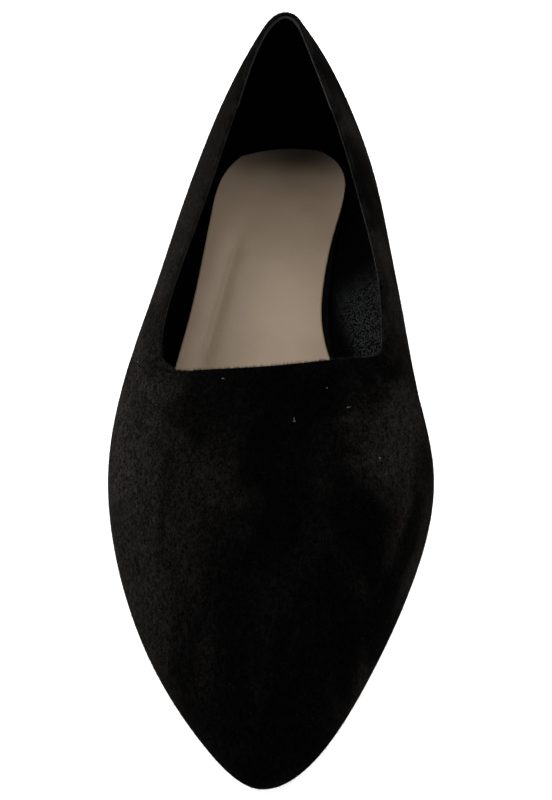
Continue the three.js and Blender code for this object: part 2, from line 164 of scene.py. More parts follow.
# Where light is painted into the suede's colour: its outer side, its inner side and its back are lighter.
PAINTED_LIGHT_OUTER_FROM, PAINTED_LIGHT_OUTER_TO = 9.0, 41.0
PAINTED_LIGHT_INNER_FROM, PAINTED_LIGHT_INNER_TO = 14.0, 39.0
PAINTED_LIGHT_BACK_FROM, PAINTED_LIGHT_BACK_TO = 95.0, 124.0
PAINTED_LIGHT_WANDER = 68.0  # the edge of the painted light wanders this much

# Light. A softbox has a name, a place and a size in metres, and a power in watts.
WORLD_LIGHT = 0.8
FLOOR_GLOW = 0.6
FLOOR_REACH = 3.0
FLOOR_LEVEL = -0.0002
LIGHT_TARGET = (0.0, 0.0, 0.03)
SOFTBOXES = [
    ("key", (0.25, 0.3, 1.0), (0.8, 0.8), 6.0),
    ("side", (-0.6, 0.3, 1.0), (0.8, 0.8), 10.0),
    ("front_fill", (0.4, -1.1, 0.8), (0.8, 0.6), 1.0),
]

# Camera. Its place is in millimetres and its angles are yaw, dip and roll in degrees.
CAMERA_PLACE = (-0.5, -196.4, 183.7)
CAMERA_ANGLES = (0.4, 43.8, 2.15)
CAMERA_FOCAL_PIXELS = 876.2
PHOTO_HEIGHT = 800

# Sections of the last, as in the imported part. Widths are shares of the ball width and heights
# shares of the instep.
SECTION_COLUMNS = ("at", "lateral", "medial", "belly", "lateral_full", "medial_full")
SECTIONS = [
    (0.0, 0.0, 0.0, 0.32, 2.0, 1.9),
    (0.04, 0.215, 0.26, 0.305, 1.5, 1.65),
    (0.12, 0.322, 0.363, 0.31, 1.44, 1.57),
    (0.25, 0.382, 0.41, 0.34, 1.54, 1.86),
    (0.4, 0.43, 0.432, 0.365, 1.71, 2.28),
    (0.52, 0.467, 0.453, 0.37, 1.95, 2.37),
    (0.62, 0.497, 0.48, 0.345, 2.2, 2.05),
    (0.7, 0.499, 0.499, 0.32, 2.3, 2.2),
    (0.8, 0.431, 0.423, 0.28, 2.3, 2.3),
    (0.9, 0.292, 0.278, 0.235, 2.2, 2.2),
    (0.965, 0.149, 0.155, 0.21, 2.2, 2.2),
    (1.0, 0.0, 0.0, 0.195, 2.2, 2.2),
]
COLLAR_LEVEL_COLUMNS = ("at", "lateral", "medial")
COLLAR_LEVELS = [
    (0.0, 0.88, 0.88),
    (0.04, 0.885, 0.945),
    (0.12, 0.865, 0.91),
    (0.25, 0.82, 0.83),
    (0.4, 0.75, 0.75),
    (0.52, 0.7, 0.7),
]
RIDGE_COLUMNS = ("at", "height")
RIDGE = [(0.62, 0.75), (0.7, 0.605), (0.8, 0.49), (0.9, 0.345), (0.965, 0.2), (1.0, 0.0)]
RIDGE_FULLNESS = 2.2
TUCK_COLUMNS = ("at", "lateral", "medial", "sock_cut")
TUCKS = [
    (0.0, 0.03, 0.03, 0.0),
    (0.05, 0.022, 0.0, 0.0),
    (0.12, 0.022, 0.032, 0.0),
    (0.25, 0.05, 0.148, 0.004),
    (0.35, 0.07, 0.2, 0.016),
    (0.42, 0.075, 0.22, 0.018),
    (0.5, 0.072, 0.195, 0.012),
    (0.6, 0.072, 0.11, 0.0),
    (0.7, 0.052, 0.052, 0.0),
    (0.8, 0.045, 0.045, 0.0),
    (0.9, 0.047, 0.047, 0.0),
    (1.0, 0.072, 0.072, 0.0),
]
TUCK_SWEEP = 1.5
COLLAR = [(0.0, 1.0), (0.15, 0.72), (0.37, 0.425), (0.6, 0.25), (0.78, 0.17), (1.0, 0.0)]
FAN_AT = 0.45
THROAT_SPREAD = 0.8

AROUND = 480
WALL_ROWS = 14
CROWN_ROWS = 60
FOLD_ROWS = 9
FINE_ROWS = 90  # of these the suede turned in behind the fold takes the first few
TURNED_IN_ROWS = 20
BACK_ROWS = 30
LINING_ROWS = 60
GRIP_ROWS = 50
ROW_CROWDING = 1.4
BOARD_ACROSS = 24
SOCK_ACROSS = 64
SOLE_ACROSS = 48
LOOP_STEPS = 200
HALF = AROUND // 2
LATERAL, MEDIAL = -1, 1
NAMES = {LATERAL: "lateral", MEDIAL: "medial"}


def batten(knots, values):
    """The curve of a thin batten held at each knot."""
    knots, values = np.asarray(knots, float), np.asarray(values, float)
    gaps = np.diff(knots)
    slopes = np.diff(values) / gaps
    last = len(knots) - 1
    system, kinks = np.eye(last + 1), np.zeros(last + 1)
    for k in range(1, last):
        system[k, k - 1 : k + 2] = gaps[k - 1], 2 * (gaps[k - 1] + gaps[k]), gaps[k]
        kinks[k] = 6 * (slopes[k] - slopes[k - 1])
    bends = np.linalg.solve(system, kinks)

    def curve(t):
        k = np.clip(np.searchsorted(knots, t) - 1, 0, last - 1)
        a = (knots[k + 1] - t) / gaps[k]
        b = 1 - a
        straight = a * values[k] + b * values[k + 1]
        bent = (a**3 - a) * bends[k] + (b**3 - b) * bends[k + 1]
        return straight + bent * gaps[k] ** 2 / 6

    return curve


def sweep_of(at):
    return np.arccos(np.clip(1 - 2 * np.asarray(at, float), -1, 1))


def outline_at(sweep):
    return (1 - np.cos(sweep)) / 2


def column(table, columns, name):
    values = [row[columns.index(name)] for row in table]
    curve = batten(sweep_of([row[0] for row in table]), values)
    return lambda at: curve(sweep_of(at))


def lerp(a, b, t):
    return a + (b - a) * t


def smootherstep(value, low, high):
    t = np.clip((value - low) / (high - low), 0, 1)
    return t**3 * (t * (6 * t - 15) + 10)


width_shares = {side: column(SECTIONS, SECTION_COLUMNS, NAMES[side]) for side in NAMES}
fullnesses = {side: column(SECTIONS, SECTION_COLUMNS, NAMES[side] + "_full") for side in NAMES}
belly_share = column(SECTIONS, SECTION_COLUMNS, "belly")
tuck_shares = {side: column(TUCKS, TUCK_COLUMNS, NAMES[side]) for side in NAMES}
sock_cut_share = column(TUCKS, TUCK_COLUMNS, "sock_cut")
collar_left = batten(*zip(*COLLAR))
ridge_share = column(RIDGE, RIDGE_COLUMNS, "height")

throat_at = 1 - VAMP_LENGTH / LENGTH
tread_front_at = 1 - TREAD_TO_TOE / LENGTH
tread_back_at = tread_front_at - TREAD_LENGTH / LENGTH
breast_at = HEEL_LENGTH / LENGTH
corner_height = CORNER_LEVEL * INSTEP * float(belly_share(throat_at) + ridge_share(throat_at))


def half_width(at, side):
    return BALL_WIDTH * np.maximum(width_shares[side](at), 0)


def sole_top(y):
    """Height of the outsole's top: level on the heel and the forefoot, up to the toe."""
    at = 0.5 - y / LENGTH
    arch = 1 - smootherstep(at, breast_at, tread_back_at)
    spring = np.maximum(0, (at - tread_front_at) / (1 - tread_front_at)) ** SPRING_SWEEP
    return OUTSOLE_THICKNESS + (HEEL_HEIGHT - OUTSOLE_THICKNESS) * arch + TOE_SPRING * spring


def sole_bottom(y):
    return sole_top(y) - OUTSOLE_THICKNESS


def edge_height(y):
    return sole_top(y) + SEAM_GAP


def belly_height(at):
    return edge_height(LENGTH * (0.5 - at)) + INSTEP * belly_share(at)


def collar_rise(at, side):
    along = np.minimum(at / throat_at, 1)
    drop = (BACK_HEIGHT - corner_height) * collar_left(along)
    arch_rise = INNER_COLLAR_RISE * np.sin(np.pi * along) if side == MEDIAL else 0
    return corner_height + drop + arch_rise - INSTEP * belly_share(at)


def crown_curve(name):
    back = [
        (row[0], float(collar_rise(row[0], LATERAL)) / row[COLLAR_LEVEL_COLUMNS.index(name)])
        for row in COLLAR_LEVELS
    ]
    front = [(at, INSTEP * height) for at, height in RIDGE]
    curve = column(back + front, RIDGE_COLUMNS, "height")
    return lambda at: np.maximum(curve(at), 0)


crowns = {side: crown_curve(NAMES[side]) for side in NAMES}


def last_point(at, side, gauge):
    """A point of the last. gauge is 0 on the ridge and 1 on the widest line."""
    share = np.clip(1 - gauge**RIDGE_FULLNESS, 0, 1)
    rise = crowns[side](at) * share ** (1 / fullnesses[side](at))
    fade = np.maximum(0, 1 - at * LENGTH / BACK_LEAN_REACH) ** 2
    lean = BACK_LEAN * np.minimum(rise / collar_rise(0.0, LATERAL), BACK_LEAN_LIMIT) ** 2 * fade
    x = side * gauge * half_width(at, side)
    return np.stack([x, LENGTH * (0.5 - at) - lean, belly_height(at) + rise], -1)


def collar_gauge(at, side):
    share = np.clip(collar_rise(at, side) / crowns[side](at), 0, HIGHEST_COLLAR)
    return (1 - share ** fullnesses[side](at)) ** (1 / RIDGE_FULLNESS)


def throat_line(side, gauge):
    return throat_at - (side * gauge * THROAT_SLANT + gauge**2 * THROAT_BOW) / LENGTH


def opening_edge(side, start):
    """Places along the collar from a share of the length, round the corner and along the throat."""
    corner_at = throat_at
    for _ in range(CORNER_PASSES):
        corner_gauge = collar_gauge(corner_at, side)
        corner_at = throat_line(side, corner_gauge)
    turn_at = corner_at - THROAT_CORNER / LENGTH
    turn_gauge = corner_gauge - THROAT_CORNER / half_width(corner_at, side)
    t = np.linspace(0, 1, LOOP_STEPS + 1)
    collar_places = lerp(start, turn_at, t)
    collar_gauges = collar_gauge(collar_places, side)

    def rounded(a, b, c):
        return a * (1 - t) ** 2 + 2 * b * t * (1 - t) + c * t**2

    round_places = rounded(collar_places[-1], corner_at, throat_line(side, turn_gauge))
    round_gauges = rounded(collar_gauges[-1], corner_gauge, turn_gauge)
    throat_gauges = turn_gauge * (1 - t)
    throat_places = throat_line(side, throat_gauges)
    places = np.concatenate([collar_places, round_places[1:], throat_places[1:]])
    return places, np.concatenate([collar_gauges, round_gauges[1:], throat_gauges[1:]])


def running_length(points):
    steps = np.linalg.norm(np.diff(points, axis=0), axis=1)
    return np.concatenate([[0], np.cumsum(steps)])


def path_ends(side, sweeps):
    """Where each path up the last ends. In front of FAN_AT the paths fan out."""
    fan_sweep = sweep_of(FAN_AT)
    edge_at, edge_gauge = opening_edge(side, FAN_AT)
    edge_run = running_length(last_point(edge_at, side, edge_gauge))
    outline_sweeps = np.linspace(fan_sweep, np.pi, LOOP_STEPS + 1)
    outline = last_point(outline_at(outline_sweeps), side, np.ones(LOOP_STEPS + 1))
    outline_run = running_length(outline)
    q = np.interp(sweeps, outline_sweeps, outline_run) / outline_run[-1]
    start_spread = outline_run[-1] / edge_run[-1]
    share = start_spread * q * (1 - q) ** 2 + (3 - 2 * q) * q**2 - THROAT_SPREAD * q**2 * (1 - q)
    fanned = sweeps > fan_sweep
    at = outline_at(sweeps)
    end_at = np.where(fanned, np.interp(share * edge_run[-1], edge_run, edge_at), at)
    fanned_gauge = np.interp(share * edge_run[-1], edge_run, edge_gauge)
    return end_at, np.where(fanned, fanned_gauge, collar_gauge(np.minimum(at, FAN_AT), side))


def crown_grid():
    """The last from its widest line to the opening: rows of points, each row a closed loop."""
    sweeps = np.linspace(0, np.pi, HALF + 1)
    start = outline_at(sweeps)
    t = np.linspace(0, 1, CROWN_ROWS + 1)[:, None]
    sides = {}
    for side in NAMES:
        end_at, end_gauge = path_ends(side, sweeps)
        turn = np.arccos(np.minimum(end_gauge ** (RIDGE_FULLNESS / 2), 1))
        share = (1 - np.cos(turn * t)) / (1 - np.cos(turn))
        at = lerp(start, end_at, share)
        x = lerp(half_width(start, side), end_gauge * half_width(end_at, side), share)
        fanned = x / np.maximum(half_width(at, side), MM)
        gauge = np.where(start <= FAN_AT, lerp(1, end_gauge, share), fanned)
        gauge[0] = 1
        sides[side] = last_point(at, side, np.clip(gauge, 0, 1))
    return np.concatenate([sides[LATERAL], sides[MEDIAL][:, -2:0:-1]], axis=1)


def outwards(ring):
    """The way out of a closed row, level with the floor."""
    along = np.roll(ring, -1, 0) - np.roll(ring, 1, 0)
    out = np.stack([along[:, 1], -along[:, 0], np.zeros(len(ring))], -1)
    return out / np.linalg.norm(out, axis=1, keepdims=True)


def traced(ring, distance, height_at):
    moved = ring + outwards(ring) * np.reshape(distance, (-1, 1))
    moved[:, 2] = height_at(moved[:, 1])
    return moved


def wall_grid(widest):
    """The side below the widest line, from the edge of the sole up."""
    at = 0.5 - widest[:, 1] / LENGTH
    lateral = np.arange(AROUND) <= HALF
    share = np.where(lateral, tuck_shares[LATERAL](at), tuck_shares[MEDIAL](at))
    foot = traced(widest, -BALL_WIDTH * share, edge_height)
    rise = (np.arange(WALL_ROWS) / WALL_ROWS)[:, None, None]
    rows = lerp(foot, widest, 1 - (1 - rise) ** TUCK_SWEEP)
    rows[..., 2] = lerp(foot[:, 2], widest[:, 2], rise[..., 0])
    return rows


def unit(vectors):
    return vectors / np.maximum(np.linalg.norm(vectors, axis=-1, keepdims=True), 1e-12)


def grid_normals(grid):
    along = np.roll(grid, -1, 1) - np.roll(grid, 1, 1)
    return unit(np.cross(along, np.gradient(grid, axis=0)))


def mesh_piece(name, points, faces, finish, replaced=()):
    """An object in metres from points in millimetres, riding on the shoe's one body."""
    mesh = bpy.data.meshes.new(name)
    mesh.from_pydata((np.asarray(points) * MM).tolist(), [], [list(face) for face in faces])
    shape = bmesh.new()
    shape.from_mesh(mesh)
    bmesh.ops.remove_doubles(shape, verts=shape.verts, dist=1e-7)
    bmesh.ops.dissolve_degenerate(shape, edges=shape.edges, dist=1e-8)
    bmesh.ops.recalc_face_normals(shape, faces=shape.faces)
    shape.to_mesh(mesh)
    shape.free()
    mesh.shade_smooth()
    mesh.materials.append(finish)
    piece = bpy.data.objects.new(name, mesh)
    bpy.context.scene.collection.objects.link(piece)
    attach(piece, "root")
    if replaced:
        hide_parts(*replaced)


def ring_faces(rows, count, closed):
    """Quads between stacked closed rows. closed also joins the last row to the first."""
    faces = []
    for j in range(rows if closed else rows - 1):
        low, high = j * count, (j + 1) % rows * count
        for i in range(count):
            after = (i + 1) % count
            faces.append((low + i, low + after, high + after, high + i))
    return faces


def closed_shell(name, rows, finish, replaced=()):
    rows = np.concatenate([row.reshape(-1, AROUND, 3) for row in rows])
    faces = ring_faces(len(rows), AROUND, True)
    mesh_piece(name, rows.reshape(-1, 3), faces, finish, replaced)


def strip_cap(left, right, across, heights):
    """Points and quads of a face between two edges, row by row along the shoe."""
    u = (1 - np.cos(np.pi * np.linspace(0, 1, across + 1))) / 2
    flat = lerp(left[:, None, :2], right[:, None, :2], u[None, :, None])
    rows, count = flat.shape[:2]
    points = np.concatenate([flat, heights(flat)[..., None]], axis=-1)
    faces = [
        (k * count + j, k * count + j + 1, (k + 1) * count + j + 1, (k + 1) * count + j)
        for k in range(rows - 1)
        for j in range(count - 1)
    ]
    return points, faces


def edge_distance(flat, ring):
    """How far each point of a face lies inside the closed outline."""
    start, step = ring[:, :2], np.roll(ring[:, :2], -1, 0) - ring[:, :2]
    nearest = np.full(flat.shape[:2], np.inf)
    for base, way in zip(start, step):
        t = np.clip(((flat - base) @ way) / max(way @ way, 1e-9), 0, 1)
        nearest = np.minimum(nearest, np.linalg.norm(flat - base - t[..., None] * way, axis=-1))
    return nearest


def rounded_drop(distance, radius):
    """How far a rounded edge lies below the face, at a distance from the outline."""
    return radius - np.sqrt(np.maximum(radius**2 - np.maximum(radius - distance, 0) ** 2, 0))


def plate(name, ring, top, bottom, top_round, bottom_round, across, finish, replaced=()):
    """A thin piece cut to the outline, with rounded edges. top takes x, y and the edge distance."""
    left = ring[: HALF + 1]
    right = np.concatenate([ring[:1], ring[:HALF - 1:-1]])

    def top_height(flat):
        distance = edge_distance(flat, ring)
        return top(flat[..., 0], flat[..., 1], distance) - rounded_drop(distance, top_round)

    def bottom_height(flat):
        return bottom(flat[..., 1]) + rounded_drop(edge_distance(flat, ring), bottom_round)

    upper, upper_faces = strip_cap(left, right, across, top_height)
    lower, lower_faces = strip_cap(left, right, across, bottom_height)
    count, rows = across + 1, len(left)
    offset = count * rows
    faces = upper_faces + [tuple(v + offset for v in face[::-1]) for face in lower_faces]
    for j in (0, across):
        for k in range(rows - 1):
            a, b = k * count + j, (k + 1) * count + j
            faces.append((a, b, b + offset, a + offset))
    points = np.concatenate([upper.reshape(-1, 3), lower.reshape(-1, 3)])
    mesh_piece(name, points, faces, finish, replaced)


def sheet_solid(name, front, back, finish):
    """A closed piece between two open grids of points of the same size."""
    rows, count = front.shape[:2]
    offset = rows * count
    faces = []
    for k in range(rows - 1):
        for j in range(count - 1):
            quad = (k * count + j, k * count + j + 1, (k + 1) * count + j + 1, (k + 1) * count + j)
            faces += [quad, tuple(v + offset for v in quad[::-1])]
    for k in range(rows - 1):
        for j in (0, count - 1):
            a, b = k * count + j, (k + 1) * count + j
            faces.append((a, b, b + offset, a + offset))
    for j in range(count - 1):
        for k in (0, rows - 1):
            a, b = k * count + j, k * count + j + 1
            faces.append((a, b, b + offset, a + offset))
    points = np.concatenate([front.reshape(-1, 3), back.reshape(-1, 3)])
    mesh_piece(name, points, faces, finish)


def scatter(grid, ways, count, seed):
    """Random places spread evenly over a grid of points, and the way out at each."""
    chance = np.random.default_rng(seed)
    across, up = np.roll(grid, -1, 1)[:-1] - grid[:-1], grid[1:] - grid[:-1]
    areas = np.linalg.norm(np.cross(across, up), axis=-1)
    cells = chance.choice(areas.size, count, p=(areas / areas.sum()).ravel())
    j, i = np.unravel_index(cells, areas.shape)
    u, v = chance.random((2, count, 1))

    def mixed(field):
        after = np.roll(field, -1, 1)
        return lerp(lerp(field[j, i], after[j, i], u), lerp(field[j + 1, i], after[j + 1, i], u), v)

    return mixed(grid), unit(mixed(ways))


def hairs(name, places, ways, lay, length, width, slot, finish):
    """Short tapered hairs, three-sided, leaning along the lay of the nap."""
    chance = np.random.default_rng(len(places))
    count = len(places)
    stray = chance.normal(0, HAIR_STRAY, (count, 3))
    heading = unit(ways + unit(lay + stray) * HAIR_LEAN)
    reach = length * chance.uniform(HAIR_SHORTEST, HAIR_LONGEST, (count, 1))
    first = unit(np.cross(heading, chance.normal(size=(count, 3))))
    second = np.cross(heading, first)
    turns = 2 * np.pi * np.arange(3)[:, None, None] / 3
    feet = places - ways * HAIR_ROOT + width / 2 * (first * np.cos(turns) + second * np.sin(turns))
    points = np.concatenate([feet, (places + heading * reach)[None]]).transpose(1, 0, 2).reshape(-1, 3)
    shape = ((0, 1, 3), (1, 2, 3), (2, 0, 3), (2, 1, 0))
    faces = [tuple(4 * k + corner for corner in face) for k in range(count) for face in shape]
    mesh_piece(name, points, faces, finish)


class Wire:
    """A socket of a finish that can be used in plain arithmetic."""

    def __init__(self, finish, socket):
        self.finish = finish
        self.socket = socket

    def maths(self, operation, first, second):
        return self.finish.node("ShaderNodeMath", {"operation": operation}, {0: first, 1: second})

    def __add__(self, other):
        return self.maths("ADD", self, other)

    def __radd__(self, other):
        return self.maths("ADD", other, self)

    def __sub__(self, other):
        return self.maths("SUBTRACT", self, other)

    def __rsub__(self, other):
        return self.maths("SUBTRACT", other, self)

    def __mul__(self, other):
        return self.maths("MULTIPLY", self, other)

    def __rmul__(self, other):
        return self.maths("MULTIPLY", other, self)

    def between(self, low, high):
        """0 below low, 1 above high and smooth between them."""
        span = {"Value": self, "From Min": low, "From Max": high}
        return self.finish.node("ShaderNodeMapRange", {"interpolation_type": "SMOOTHSTEP"}, span)


class Finish:
    """A material around one Principled shader, made from its constants and its nodes."""

    def __init__(self, name, constants):
        self.material = bpy.data.materials.new(name)
        self.material.use_nodes = True
        self.tree = self.material.node_tree
        self.shader = self.tree.nodes["Principled BSDF"]
        for socket, value in constants.items():
            self.shader.inputs[socket].default_value = value
        self.place = self.node("ShaderNodeTexCoord", output="Object")

    def node(self, kind, settings=None, sockets=None, output=0):
        made = self.tree.nodes.new(kind)
        for name, value in (settings or {}).items():
            setattr(made, name, value)
        for name, value in (sockets or {}).items():
            if isinstance(value, Wire):
                self.tree.links.new(value.socket, made.inputs[name])
            else:
                made.inputs[name].default_value = value
        return Wire(self, made.outputs[output])

    def noise(self, size, stretch=(1, 1, 1), **sockets):
        """Noise with features of this size in millimetres, longer where stretch is larger."""
        scale = tuple(1 / (size * MM * way) for way in stretch)
        where = self.node("ShaderNodeVectorMath", {"operation": "MULTIPLY"}, {0: self.place, 1: scale})
        named = {words.title(): value for words, value in sockets.items()}
        return self.node("ShaderNodeTexNoise", None, {"Vector": where, "Scale": 1.0, **named})

    def cells(self, size):
        """Distance from the middle of the nearest cell, in cells of this size in millimetres."""
        grid = {"Vector": self.place, "Scale": 1 / (size * MM)}
        return self.node("ShaderNodeTexVoronoi", None, grid, output="Distance")

    def axis(self, name):
        return self.node("ShaderNodeSeparateXYZ", None, {0: self.place}, output=name)

    def blend(self, mask, dark, light):
        """A colour between two others."""
        return self.node(
            "ShaderNodeMix", {"data_type": "RGBA"}, {0: mask, 6: dark, 7: light}, output=2
        )

    def bump(self, height, depth, below=None):
        """A relief of this depth in millimetres, over another one if there is one."""
        sockets = {"Height": height, "Distance": depth * MM}
        if below:
            sockets["Normal"] = below
        return self.node("ShaderNodeBump", None, sockets)

    def feed(self, **wires):
        for words, wire in wires.items():
            self.tree.links.new(wire.socket, self.shader.inputs[words.replace("_", " ").title()])
        return self.material


def shade(red, green, blue):
    return (red, green, blue, 1.0)


def suede_finish():
    finish = Finish(
        "black_suede",
        {
            "Sheen Weight": 0.007,
            "Sheen Roughness": 0.3,
            "Sheen Tint": shade(0.9, 0.8, 0.74),
            "Specular IOR Level": 0.0,
        },
    )
    nap = finish.noise(0.75, (1, 1.8, 1), detail=3.0, roughness=0.65, distortion=0.8)
    fibre = finish.noise(0.26, (1, 2.2, 1.2), detail=2.0, roughness=0.6)
    brushed = finish.noise(17.0, (1, 1.7, 1), detail=4.0, roughness=0.55, distortion=0.5)
    fine = nap.between(0.37, 0.67) * 0.52 + fibre.between(0.39, 0.63) * 0.4 + 0.04
    # Painted light: the outer side, the inner side and the back are made lighter, standing in for the light
    # the nap catches there.
    across = finish.axis("X") + (brushed - 0.5) * (PAINTED_LIGHT_WANDER * MM)
    painted_light_outer = 1 - across.between(-PAINTED_LIGHT_OUTER_TO * MM, -PAINTED_LIGHT_OUTER_FROM * MM)
    painted_light_inner = across.between(PAINTED_LIGHT_INNER_FROM * MM, PAINTED_LIGHT_INNER_TO * MM)
    back = finish.axis("Y").between(PAINTED_LIGHT_BACK_FROM * MM, PAINTED_LIGHT_BACK_TO * MM)
    smudge = brushed.between(0.36, 0.64)
    # raised is this painted light, with the nap's own smudges of tone mixed in.
    raised = painted_light_outer * (smudge * 0.46 + 0.32) + painted_light_inner * (smudge * 0.2 + 0.08)
    raised = raised + back * 0.2 + smudge * 0.04
    tone = fine * (raised + 0.02)
    colour = finish.blend(tone, shade(0.0003, 0.0003, 0.0003), shade(0.042, 0.0375, 0.0345))
    relief = finish.bump(fibre, 0.12, finish.bump(nap, 0.35))
    return finish.feed(base_color=colour, roughness=0.98 - tone * 0.12, normal=relief)


def nap_hair_finish():
    finish = Finish("suede_hairs", {"Roughness": 0.9, "Specular IOR Level": 0.1})
    patch = finish.noise(7.0, detail=2.0)
    dark, light = shade(0.001, 0.0009, 0.0009), shade(0.018, 0.0162, 0.015)
    colour = finish.blend(patch.between(0.35, 0.7), dark, light)
    return finish.feed(base_color=colour)


def lining_finish():
    finish = Finish("black_lining_leather", {"Specular IOR Level": 0.01})
    pebble = finish.cells(0.55)
    fine = finish.noise(0.3, detail=3.0, roughness=0.65)
    patch = finish.noise(9.0, detail=2.0)
    # Painted glints: pale specks in the lining's colour inside the arch stand in for reflections on its
    # grain.
    painted_light_inner = finish.axis("X").between(GLINT_OUTER * MM, GLINT_INNER * MM)
    raised = finish.axis("Z").between(GLINT_LOW * MM, GLINT_HIGH * MM)
    back = finish.axis("Y").between(GLINT_FRONT * MM, GLINT_BACK * MM)
    painted_glint_area = painted_light_inner * raised * (1 - back)
    glints = (1 - pebble.between(0.3, 0.6)) * fine.between(0.38, 0.52) * painted_glint_area
    colour = finish.blend(glints, shade(0.0007, 0.0007, 0.0008), shade(0.045, 0.049, 0.047))
    relief = finish.bump(fine, 0.12, finish.bump(pebble, 0.5))
    return finish.feed(base_color=colour, roughness=0.25 + patch * 0.2, normal=relief)


def cut_edge_finish(name, dark, light):
    finish = Finish(name, {"Roughness": 0.75, "Specular IOR Level": 0.1})
    fuzz = finish.noise(0.5, detail=3.0)
    # Painted highlight: the cut edge is paler on the inner side, where it catches the light.
    painted_light_inner = finish.axis("X").between(EDGE_DARK_TO * MM, EDGE_LIGHT_FROM * MM)
    tone = fuzz.between(0.3, 0.7) * (painted_light_inner * 0.8 + 0.2)
    colour = finish.blend(tone, shade(dark, dark, dark), shade(light, light, light))
    return finish.feed(base_color=colour, normal=finish.bump(fuzz, 0.1))


def sock_finish():
    finish = Finish("beige_sock_leather", {"Specular IOR Level": 0.4})
    grain = finish.cells(0.6)
    pores = finish.noise(0.3, detail=3.0, roughness=0.6)
    mottle = finish.noise(24.0, detail=3.0, roughness=0.5)
    dark, light = shade(0.232, 0.17, 0.114), shade(0.268, 0.2, 0.137)
    colour = finish.blend(mottle.between(0.3, 0.7), dark, light)
    # Painted shade: the sock darkens toward its back edge.
    back = finish.axis("Y").between(SOCK_SHADE_FROM * MM, SOCK_SHADE_TO * MM)
    colour = finish.blend(back * 0.9, colour, shade(0.012, 0.007, 0.005))
    relief = finish.bump(pores, 0.05, finish.bump(grain, 0.07))
    return finish.feed(base_color=colour, roughness=0.5 + pores * 0.14, normal=relief)


def board_finish():
    finish = Finish("insole_board", {"Roughness": 0.95, "Specular IOR Level": 0.0})
    fibre = finish.noise(0.6, (1, 2, 1), detail=3.0)
    dark, light = shade(0.0012, 0.0011, 0.001), shade(0.004, 0.0036, 0.0032)
    colour = finish.blend(fibre.between(0.3, 0.7), dark, light)
    return finish.feed(base_color=colour, normal=finish.bump(fibre, 0.15))


def rubber_finish(name, ribbed):
    finish = Finish(name, {"Specular IOR Level": 0.05})
    grain = finish.noise(0.5, detail=3.0, roughness=0.6)
    wear = finish.noise(14.0, detail=3.0)
    dark, light = shade(0.003, 0.0029, 0.0029), shade(0.007, 0.0068, 0.0066)
    colour = finish.blend(wear.between(0.35, 0.7), dark, light)
    relief = finish.bump(grain, 0.12)
    if ribbed:
        relief = finish.bump(rib_relief(finish), 0.5, relief)
    return finish.feed(base_color=colour, roughness=0.5 + grain * 0.25, normal=relief)


def rib_relief(finish):
    """Shallow ribs across the tread, only where the sole is level."""
    wave = {"Vector": finish.place, "Scale": 1 / (math.pi * RIB_PITCH * MM), "Distortion": 0.0}
    bands = finish.node("ShaderNodeTexWave", {"bands_direction": "Y"}, wave)
    y = finish.axis("Y")
    fade = RIB_FADE * MM
    low, high = LENGTH * (0.5 - tread_front_at) * MM, LENGTH * (0.5 - tread_back_at) * MM
    tread = y.between(low - fade, low) * (1 - y.between(high, high + fade))
    return bands.between(0.35, 0.65) * tread


suede = suede_finish()
lining_leather = lining_finish()
nap_hair = nap_hair_finish()
lint_finish = Finish("grey_lint", {"Base Color": shade(0.24, 0.23, 0.23), "Roughness": 0.9}).material
lining_edge = cut_edge_finish("lining_cut_edge", 0.004, 0.055)
grip_edge = cut_edge_finish("grip_cut_edge", 0.008, 0.06)
sock_leather = sock_finish()
board = board_finish()
sole_rubber = rubber_finish("sole_rubber", True)
heel_rubber = rubber_finish("heel_rubber", False)

crown = crown_grid()
wall = wall_grid(crown[0])
sole_edge = wall[0]
outer = np.concatenate([wall, crown])
normals = grid_normals(outer)
top = outer[-1]
top_normal = normals[-1]
top_way = unit(top - outer[-2])


def creased(grid, ways):
    """The suede's outside with its soft creases pressed in, none at the folded edge."""
    depth = np.zeros(grid.shape[:2])
    for row in CREASES:
        crease = dict(zip(CREASE_COLUMNS, row))
        start = last_point(crease["from_at"], crease["side"], crease["from_gauge"])
        way = last_point(crease["to_at"], crease["side"], crease["to_gauge"]) - start
        t = np.clip((grid - start) @ way / (way @ way), 0, 1)
        away = np.linalg.norm(grid - start - t[..., None] * way, axis=-1)
        swell = np.exp(-((away / crease["width"]) ** 2)) * np.sin(np.pi * np.clip(t, *CREASE_ENDS))
        depth = np.maximum(depth, crease["depth"] * swell)
    return grid - ways * depth[..., None]


def layer(offset, foot_rise=0.0):
    """The face at this depth inside the shoe's outer face, cut off level above the sole."""
    face = outer - normals * offset
    face[..., 2] = np.maximum(face[..., 2], edge_height(face[..., 1]) + foot_rise)
    return face


def down_columns(grid, first, count):
    """Each column from this far below its top to its foot, with the rows closer near the top."""
    rows = np.empty((count, grid.shape[1], 3))
    shares = np.linspace(0, 1, count) ** ROW_CROWDING
    for i in range(grid.shape[1]):
        path = grid[::-1, i]
        run = running_length(path)
        for axis in range(3):
            rows[:, i, axis] = np.interp(lerp(first, run[-1], shares), run, path[:, axis])
    return rows


def rim(name, outer_offset, inner_offset, drop, finish, columns):
    """A thin round edge along the opening, between two depths inside the outer face."""
    middle = top - top_normal * (outer_offset + inner_offset) / 2 - top_way * drop
    reach = (inner_offset - outer_offset) / 2
    angles = np.linspace(0, 2 * np.pi, RIM_SIDES, endpoint=False)[:, None, None]
    rows = middle + top_normal * reach * np.cos(angles) + top_way * RIM_HEIGHT * np.sin(angles)
    rows = rows[:, columns]
    count = len(columns)
    faces = ring_faces(RIM_SIDES, count, True)
    if count < AROUND:
        faces = [face for face in faces if face[0] % count != count - 1]
        faces += [tuple(j * count + end for j in range(RIM_SIDES)) for end in (0, count - 1)]
    mesh_piece(name, rows.reshape(-1, 3), faces, finish)


